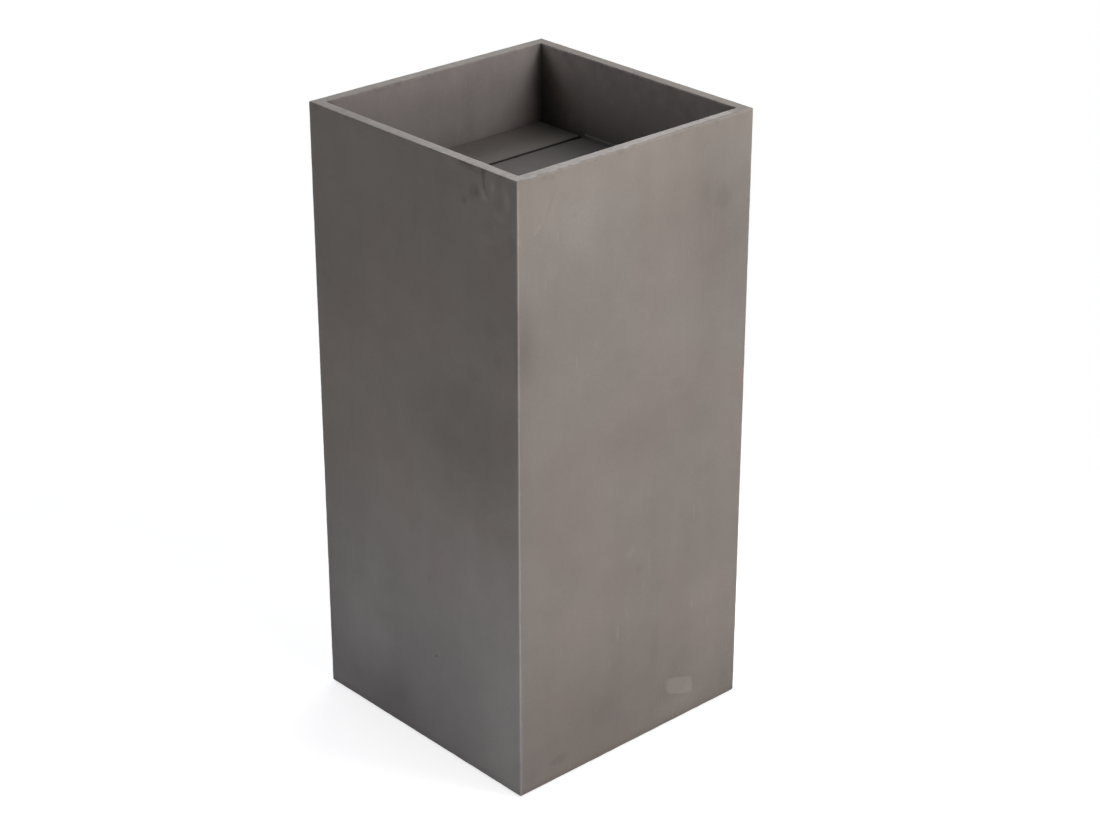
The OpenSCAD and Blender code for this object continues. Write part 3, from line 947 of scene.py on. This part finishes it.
def worn_edges_tree():
    """A tree that rounds a block's edges and the mouth of its hollow, and waves its faces a little."""
    numbers = dict.fromkeys(WEAR_NUMBERS, "Float")
    graph, given = new_tree("worn_edges", low="Vector", high="Vector", nick_place="Vector", **numbers)
    spot = graph.add("GeometryNodeInputPosition")
    hollow = graph.add("GeometryNodeInputNamedAttribute", {"Name": "hollow"})
    gap = graph.add("GeometryNodeInputNamedAttribute", {"Name": "mouth_gap"})
    way = graph.add("GeometryNodeInputNamedAttribute", {"Name": "mouth_way"}, data_type="FLOAT_VECTOR")
    outside = graph.minus(1.0, hollow)
    drop = graph.minus(graph.parts(given["high"])[2], graph.parts(spot)[2])
    wear = edge_wear(graph, given, spot, outside, way, gap, drop)

    ease = wandering_ease(graph, given, spot)
    block_move = graph.scaled(block_rounding(graph, given, spot, ease), outside)
    mouth_move = mouth_rounding(graph, way, gap, drop, ease)
    wave = graph.product(graph.noise(spot, 9, 2, graph.total(given["seed"], 9.0)), given["wave"], -1.0)
    wave_move = graph.scaled(graph.add("GeometryNodeInputNormal"), wave)
    move = graph.vector("ADD", graph.vector("ADD", block_move, mouth_move), wave_move)

    to_store = {"Geometry": given["mesh"], "Name": "wear", "Value": wear}
    stored = graph.add("GeometryNodeStoreNamedAttribute", to_store)
    moved = graph.add("GeometryNodeSetPosition", {"Geometry": stored, "Offset": move})
    return close_tree(graph, moved, given["finish"])


# The slab and the plank

BLOCK_STEPS = (0.25 * MM, 0.6 * MM, 1.1 * MM, 1.8 * MM)
COVE_KNOTS = 80
COVE_STEP = 3 * MM
COVE_WANDER = 0.10


def block_mesh(low, high, cell):
    """A closed block of fine squares, finer still beside its edges."""
    low, high = np.array(low), np.array(high)
    casting = Casting()
    lines = []
    for start, end in zip(low, high):
        cells = max(round((end - start) / cell), 3)
        lines.append(start + stations(end - start, cells, BLOCK_STEPS)[0])
    for axis in range(3):
        first, second = [other for other in range(3) if other != axis]
        faces = grid_faces(len(lines[first]), len(lines[second]))
        for level in (low[axis], high[axis]):
            b, a = np.meshgrid(lines[second], lines[first])
            points = np.zeros((a.size, 3))
            points[:, axis] = level
            points[:, first] = a.ravel()
            points[:, second] = b.ravel()
            casting.add(points, faces, grime=joint_grime_and_shade(points, low, high))
    return casting.mesh("block_blank")


def joint_grime_and_shade(points, low, high):
    """How much darker a block of the tray's floor is painted: painted shade with some dirt, most in its joints'
    mouths, with a band along its top that widens at its ends beside the side walls.
    """
    depth = high[2] - points[:, 2]
    # Painted shade down the block's sides, strongest just under its top, so that the seams show dark.
    sides = np.clip((depth - 0.15 * MM) / (0.7 * MM), 0, 1) * (0.35 + 0.65 * np.exp(-(depth / (9 * MM)) ** 2))
    gap = np.minimum(points - low, high - points)[:, :2]
    # Painted shade along the top's edges, wider at the ends beside the side walls.
    beside = 0.55 * np.exp(-gap.min(1) / (1.2 * MM)) + 0.45 * np.exp(-gap[:, 0] / (11 * MM))
    return np.clip(sides + beside * np.exp(-depth / (4 * MM)), 0, 1)


def cove_section():
    """The mortar's section, as places in from the wall and heights, and how much each of them wanders."""
    width = SLAB_LOW.x + HOLLOW_HALF
    top = COVE_HIGH.z
    foot = TRAY_FLOOR + COVE_LIP
    turn = np.radians(np.linspace(0, 90, 9))
    radius = min(width, top - TRAY_FLOOR)
    arc = [(COVE_LIP + radius * (1 - math.sin(a)), foot + radius * (1 - math.cos(a))) for a in turn]
    arc = [(min(u, width), min(w, top)) for u, w in arc]
    section = np.array([(CAST_GAP, SLAB_LOW.z), (width, SLAB_LOW.z), (width, foot), *arc, (CAST_GAP, top)])
    return section, np.array([0, 0, 0, *np.sin(2 * turn), 0])


def cove_mesh():
    """The mortar around the slab: a joint as deep as the slab and a hollow bead on it, smoothed by hand."""
    dice = random.Random(12)
    knots = [dice.uniform(-1, 1) for _ in range(COVE_KNOTS)]
    section, moves = cove_section()
    runs = [((-1, SLAB_HIGH.y), (-1, None)), ((-1, None), (1, None)), ((1, None), (1, SLAB_HIGH.y))]
    rings = []
    for number, (start, end) in enumerate(runs):
        length = 2 * HOLLOW_HALF if number == 1 else SLAB_HIGH.y + HOLLOW_HALF
        steps = round(length / COVE_STEP)
        for i in range(steps + (number == 2)):
            share = i / steps
            wander = np.interp(len(rings) / 4, range(len(knots)), knots)
            u = section[:, 0] * (1 + COVE_WANDER * moves * wander)
            ends = []
            for side, y in (start, end):
                x = side * (HOLLOW_HALF - u)
                ends.append((x, np.full_like(u, y) if y is not None else u - HOLLOW_HALF))
            x, y = ((1 - share) * a + share * b for a, b in zip(*ends))
            rings.append(np.column_stack([x, y, section[:, 1]]))
    casting = Casting()
    casting.add(*loft(rings, closed_start=True, closed_end=True))
    return casting.mesh("cove_blank")


# Fittings

SHARP_ANGLE = math.radians(35)
SCREW_SIDES = 24
HEAD_PROFILE = (0.5, 0.62, 0.74, 0.85, 0.94, 1.0)


def softened(name, width, material):
    """A copy of a node with its sharp edges rounded."""
    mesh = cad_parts[name].data.copy()
    solid = bmesh.new()
    solid.from_mesh(mesh)
    bmesh.ops.remove_doubles(solid, verts=solid.verts, dist=0.002 * MM)
    bmesh.ops.dissolve_limit(solid, angle_limit=math.radians(1), verts=solid.verts, edges=solid.edges)
    shared = [edge for edge in solid.edges if len(edge.link_faces) == 2]
    sharp = [edge for edge in shared if edge.calc_face_angle() > SHARP_ANGLE]
    bmesh.ops.bevel(
        solid, geom=sharp, offset=width, segments=2, profile=0.5, affect="EDGES", clamp_overlap=True,
    )
    bmesh.ops.triangulate(solid, faces=[face for face in solid.faces if len(face.verts) > 4])
    bmesh.ops.recalc_face_normals(solid, faces=solid.faces)
    solid.to_mesh(mesh)
    solid.free()
    mesh.materials.clear()
    mesh.materials.append(material)
    mesh.shade_smooth()
    return new_object(name + "_finished", mesh)


def screw_mesh():
    """A button-head screw that points along +Z, with the underside of its head on the ledge's face."""
    turn = np.arange(SCREW_SIDES) * 2 * math.pi / SCREW_SIDES
    hexagon = HEXAGON_WIDTH / 2 / np.cos((turn + math.pi / 6) % (math.pi / 3) - math.pi / 6)
    seat = -LEDGE_THICKNESS
    crown = seat - HEAD_HEIGHT
    point = seat + SCREW_LENGTH
    steps = [(0.01 * MM, crown + HEXAGON_DEPTH), (hexagon - 0.2 * MM, crown + HEXAGON_DEPTH)]
    steps += [(hexagon, crown + 0.15 * MM), (hexagon + 0.15 * MM, crown)]
    for share in HEAD_PROFILE:
        bulge = 1 - math.sqrt(max(1 - share ** 2, 0.0))
        steps.append((share * HEAD_RADIUS, crown + 0.85 * HEAD_HEIGHT * bulge))
    steps += [(HEAD_RADIUS, seat - 0.1 * MM), (HEAD_RADIUS - 0.15 * MM, seat), (SCREW_RADIUS, seat)]
    for k in range(round(SCREW_LENGTH / THREAD_PITCH) - 1):
        start = seat + (k + 0.5) * THREAD_PITCH
        steps.append((SCREW_RADIUS - 0.35 * MM, start))
        steps += [(SCREW_RADIUS, start + 0.45 * MM), (SCREW_RADIUS, start + 0.55 * MM)]
    steps += [(SCREW_RADIUS - 0.6 * MM, point), (0.01 * MM, point)]
    casting = Casting()
    casting.add(*loft(level_rings(steps, count=SCREW_SIDES), closed_start=True, closed_end=True))
    return casting.mesh("screw")


def screw_rows_tree(screw):
    """A tree that puts a row of screws in each side wall, each turned at random."""
    places = dict.fromkeys(("pitch", "reach", "height"), "Float")
    graph, given = new_tree("screw_rows", count="Int", seed="Int", **places)
    count, pitch = given["count"], given["pitch"]
    shape = graph.add("GeometryNodeObjectInfo", {"Object": screw}, "Geometry")
    first = graph.product(graph.minus(count, 1.0), graph.product(pitch, -0.5))
    step = graph.add("ShaderNodeCombineXYZ", {"Y": pitch})
    joined = graph.tree.nodes.new("GeometryNodeJoinGeometry")
    for side in (-1, 1):
        reach = graph.product(given["reach"], float(side))
        start = graph.add("ShaderNodeCombineXYZ", {"X": reach, "Y": first, "Z": given["height"]})
        line = {"Count": count, "Start Location": start, "Offset": step}
        any_turn = {2: 0.0, 3: math.tau, "Seed": given["seed"]}
        roll = graph.add("FunctionNodeRandomValue", any_turn, 1, data_type="FLOAT")
        rolled = graph.add("FunctionNodeAxisAngleToRotation", {"Axis": (0, 0, 1), "Angle": roll})
        facing = graph.add("FunctionNodeEulerToRotation", {0: (0, side * math.pi / 2, 0)})
        turned = graph.add("FunctionNodeRotateRotation", {0: facing, 1: rolled}, rotation_space="LOCAL")
        row = {"Points": graph.add("GeometryNodeMeshLine", line), "Instance": shape, "Rotation": turned}
        graph.tree.links.new(graph.add("GeometryNodeInstanceOnPoints", row), joined.inputs[0])
    return close_tree(graph, joined.outputs[0], given["finish"])


def ribbed_pad_tree():
    """A tree that makes a round pad with rounded edges and ring-shaped grooves in its underside."""
    numbers = dict.fromkeys(("radius", "thickness", "ease", "groove_pitch", "groove_depth"), "Float")
    graph, given = new_tree("ribbed_pad", place="Vector", **numbers)
    sizes = {"Radius": given["radius"], "Depth": given["thickness"]}
    cells = {"Vertices": 64, "Side Segments": 10, "Fill Segments": 40}
    disc = graph.add("GeometryNodeMeshCylinder", sizes | cells, fill_type="TRIANGLE_FAN")
    spot = graph.add("GeometryNodeInputPosition")
    flat = graph.vector("MULTIPLY", spot, (1, 1, 0))
    radius = graph.length(flat)
    height = graph.parts(spot)[2]

    core_radius = graph.math("MINIMUM", radius, graph.minus(given["radius"], given["ease"]))
    half = graph.minus(graph.product(given["thickness"], 0.5), given["ease"])
    minus_half = graph.product(half, -1.0)
    core_height = graph.largest(graph.math("MINIMUM", height, half), minus_half)
    core_in_plan = graph.scaled(graph.vector("NORMALIZE", flat), core_radius)
    core = graph.vector("ADD", core_in_plan, graph.upward(core_height))
    reach = graph.vector("NORMALIZE", graph.vector("SUBTRACT", spot, core))
    rounded = graph.vector("ADD", core, graph.scaled(reach, given["ease"]))

    turns = graph.math("DIVIDE", graph.product(radius, math.tau), given["groove_pitch"])
    groove = graph.remap(graph.math("SINE", turns), 0.1, 0.6)
    rimmed = graph.math("LESS_THAN", radius, graph.minus(given["radius"], given["groove_pitch"]))
    under = graph.math("LESS_THAN", height, minus_half)
    cut = graph.product(groove, rimmed, under, given["groove_depth"])
    ribbed = graph.vector("ADD", rounded, graph.upward(cut))
    place = graph.vector("ADD", ribbed, given["place"])
    shaped = graph.add("GeometryNodeSetPosition", {"Geometry": disc, "Position": place})
    return close_tree(graph, shaped, given["finish"])


# The object

def add_piece(piece, body, slot, *nodes):
    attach(piece, body)
    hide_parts(*nodes)


def add_fitting(name, ease, finish, slot, body="planter"):
    add_piece(softened(name, ease, finish), body, slot, name)


def build_casting(edges, finish):
    shell = grown(
        "shell_casting", shell_mesh(), edges, finish=finish, low=SHELL_LOW, high=SHELL_HIGH, seed=3.0,
        ease=SHELL_EASE, unevenness=0.5, wave=0.25 * MM, wear_width=3.5 * MM,
        chip_rate=130.0, chip_reach=1.9 * MM,
        nick_place=(-HALF, -HALF, 0.248), nick_size=20 * MM, nick_reach=1.2 * MM,
    )
    add_piece(shell, "planter", "shell_concrete", "shell")


def grown_block(name, low, high, cell, edges, **values):
    """One slab of the tray's floor, with worn edges."""
    shared = {"low": low, "high": high, "ease": SLAB_EASE, "wave": 0.2 * MM, "wear_width": 2 * MM}
    return grown(name, block_mesh(low, high, cell), edges, **shared, **values)


def build_slab(edges, finish):
    slab = grown_block(
        "tray_slab", SLAB_LOW, SLAB_HIGH, 4 * MM, edges, finish=finish, seed=14.0,
        unevenness=0.3, chip_rate=160.0, chip_reach=1.2 * MM,
        nick_place=(SLAB_HIGH.x, SLAB_HIGH.y, TRAY_FLOOR), nick_size=14 * MM, nick_reach=1.5 * MM,
    )
    add_piece(slab, "planter", "slab_concrete", "front_slab")


def build_plank(edges, finish):
    high = Vector((PLANK_WIDTH / 2, PLANK_DEPTH / 2, TRAY_FLOOR))
    low = Vector((-high.x, -high.y, PLANK_LOW.z))
    plank = grown_block(
        "tray_plank", low, high, 3 * MM, edges, finish=finish, seed=22.0,
        unevenness=0.35, chip_rate=170.0, chip_reach=1.4 * MM,
        nick_place=(high.x, low.y, high.z), nick_size=12 * MM, nick_reach=1.8 * MM,
    )
    middle = (PLANK_LOW + PLANK_HIGH) / 2
    plank.data.transform(Matrix.Translation((0, middle.y, 0)) @ Matrix.Rotation(PLANK_TURN, 4, "Z"))
    add_piece(plank, "plank", "slab_concrete", "back_plank")


def build_cove(mortar):
    cove = new_object("mortar_cove", cove_mesh())
    cove.data.materials.append(mortar)
    cove.data.shade_smooth()
    add_piece(cove, "planter", "mortar", "cove_bead")


def build_screws(steel):
    screw = new_object("screw", screw_mesh())
    screws = grown(
        "button_screws", bpy.data.meshes.new("screw_rows"), screw_rows_tree(screw), finish=steel,
        count=SCREW_COUNT, pitch=SCREW_PITCH, reach=HOLLOW_HALF, height=SCREW_Z, seed=5,
    )
    bpy.data.objects.remove(screw)
    add_piece(screws, "planter", "stainless_steel", "ledge_screws")


def build_feet(rubber):
    pad = ribbed_pad_tree()
    for name in FEET:
        low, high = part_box(name)
        foot = grown(
            name + "_pad", bpy.data.meshes.new(name), pad, finish=rubber, place=(low + high) / 2,
            radius=(high.x - low.x) / 2, thickness=high.z - low.z, ease=1 * MM,
            groove_pitch=4 * MM, groove_depth=0.6 * MM,
        )
        add_piece(foot, "planter", "rubber", name)


# The studio

LAMPS = {
    # azimuth, distance, height, size, share of the light, colour
    "front_low": (0, 1.8, 0.5, 1.0, 0.240, (1.04, 0.985, 0.975)),
    "front_high": (25, 1.2, 1.5, 0.6, 0.348, (1.0, 0.98, 1.02)),
    "right_side": (75, 1.2, 1.5, 0.6, 0.043, (1.0, 1.0, 1.0)),
    "back_right": (130, 1.5, 2.0, 1.0, 0.162, (1.0, 1.0, 1.0)),
    "back_high": (180, 1.2, 2.0, 1.0, 0.116, (0.95, 0.98, 1.07)),
    "back_left": (-125, 1.6, 1.4, 1.0, 0.072, (0.95, 0.98, 1.07)),
    "left_low": (-70, 0.72, 0.17, 0.3, 0.104, (0.97, 0.985, 1.05)),
}
LAMP_AIM = Vector((0, 0, 0.4))
LAMP_POWER = 13
CAMERA_PLACE = (-1.8511, -2.0681, 1.6984)
CAMERA_WAY = Vector((0.6078, 0.6682, -0.4291))
CAMERA_LENS = 84.4
FLOOR_REACH = 20
FLOOR_TONE = (0.8, 0.8, 0.8, 1)
FLOOR_GLOW = 0.72
WHITE = (1, 1, 1, 1)


def bare_graph(owner):
    """Starts an empty tree of nodes for a material or the world."""
    owner.use_nodes = True
    owner.node_tree.nodes.clear()
    return Graph(owner.node_tree)


def show_white(graph, output, lit, white):
    """Shows the second shader to the rays that see a background, and lights the object with the first."""
    path = graph.tree.nodes.new("ShaderNodeLightPath").outputs
    shown = graph.largest(path["Is Camera Ray"], path["Is Glossy Ray"], path["Is Transmission Ray"])
    surface = graph.add("ShaderNodeMixShader", {0: shown, 1: lit, 2: white})
    graph.tree.links.new(surface, graph.tree.nodes.new(output).inputs["Surface"])


def build_floor_plane():
    mesh = bpy.data.meshes.new("floor")
    corners = [(x * FLOOR_REACH, y * FLOOR_REACH, 0) for x, y in ((-1, -1), (1, -1), (1, 1), (-1, 1))]
    mesh.from_pydata(corners, [], [(0, 1, 2, 3)])
    material = bpy.data.materials.new("pale_floor")
    graph = bare_graph(material)
    lit = graph.add("ShaderNodeBsdfDiffuse", {"Color": FLOOR_TONE})
    glow = graph.add("ShaderNodeEmission", {"Color": WHITE, "Strength": FLOOR_GLOW})
    near = graph.add("ShaderNodeAddShader", {0: glow, 1: lit})
    far = graph.add("ShaderNodeEmission", {"Color": WHITE, "Strength": 1.0})
    away = graph.remap(graph.length(graph.add("ShaderNodeTexCoord", output="Object")), 0.45, 1.1)
    white = graph.add("ShaderNodeMixShader", {0: away, 1: near, 2: far})
    show_white(graph, "ShaderNodeOutputMaterial", lit, white)
    mesh.materials.append(material)
    new_object("floor", mesh)


def build_world():
    world = bpy.data.worlds.new("studio")
    bpy.context.scene.world = world
    graph = bare_graph(world)
    dark = graph.add("ShaderNodeBackground", {"Color": WHITE, "Strength": 0.0})
    white = graph.add("ShaderNodeBackground", {"Color": WHITE, "Strength": 1.0})
    show_white(graph, "ShaderNodeOutputWorld", dark, white)


def build_lamps():
    for name, (azimuth, away, height, size, share, colour) in LAMPS.items():
        turn = math.radians(azimuth)
        spot = Vector((math.sin(turn) * away, -math.cos(turn) * away, height))
        ray = spot - LAMP_AIM
        light = bpy.data.lights.new(name, "AREA")
        light.shape = "SQUARE"
        light.size = size
        light.energy = LAMP_POWER * share * ray.length_squared
        light.color = colour
        lamp = new_object(name, light)
        lamp.location = spot
        lamp.rotation_euler = ray.to_track_quat("Z", "Y").to_euler()
        lamp.visible_camera = False


def build_camera():
    camera = bpy.data.cameras.new("camera")
    camera.sensor_width = 36
    camera.lens = CAMERA_LENS
    eye = new_object("camera", camera)
    eye.location = CAMERA_PLACE
    eye.rotation_euler = CAMERA_WAY.to_track_quat("-Z", "Y").to_euler()
    bpy.context.scene.camera = eye
    bpy.context.scene.view_settings.view_transform = "Standard"


def main():
    build_camera()
    build_lamps()
    build_world()
    build_floor_plane()
    edges = worn_edges_tree()
    mortar, steel, rubber = mortar_finish(), brushed_steel(), black_rubber()
    build_casting(edges, cast_concrete(
        "shell_concrete_finish", SHELL_TONES, 1, pale=0.14, clouds=0.07, marks=shell_marks, tint=shell_tint,
    ))
    build_slab(edges, cast_concrete("slab_finish", SLAB_SHADED_TONES, 60, pale=0.1))
    build_plank(edges, cast_concrete("plank_finish", PLANK_TONES, 75, pale=0.1))
    build_cove(mortar)
    add_fitting("slab_bedding", 0.4 * MM, mortar, "mortar")
    add_fitting("left_ledge", 0.3 * MM, steel, "stainless_steel")
    add_fitting("right_ledge", 0.3 * MM, steel, "stainless_steel")
    build_screws(steel)
    add_fitting("wall_sockets", 0.2 * MM, turned_brass(), "brass")
    add_fitting("drain_sleeve", 0.4 * MM, grey_pipe(), "pipe_plastic")
    add_fitting("plank_pads", 0.3 * MM, rubber, "rubber")
    add_fitting("drain_plug", 0.4 * MM, rubber, "rubber", "plug")
    build_feet(rubber)


main()
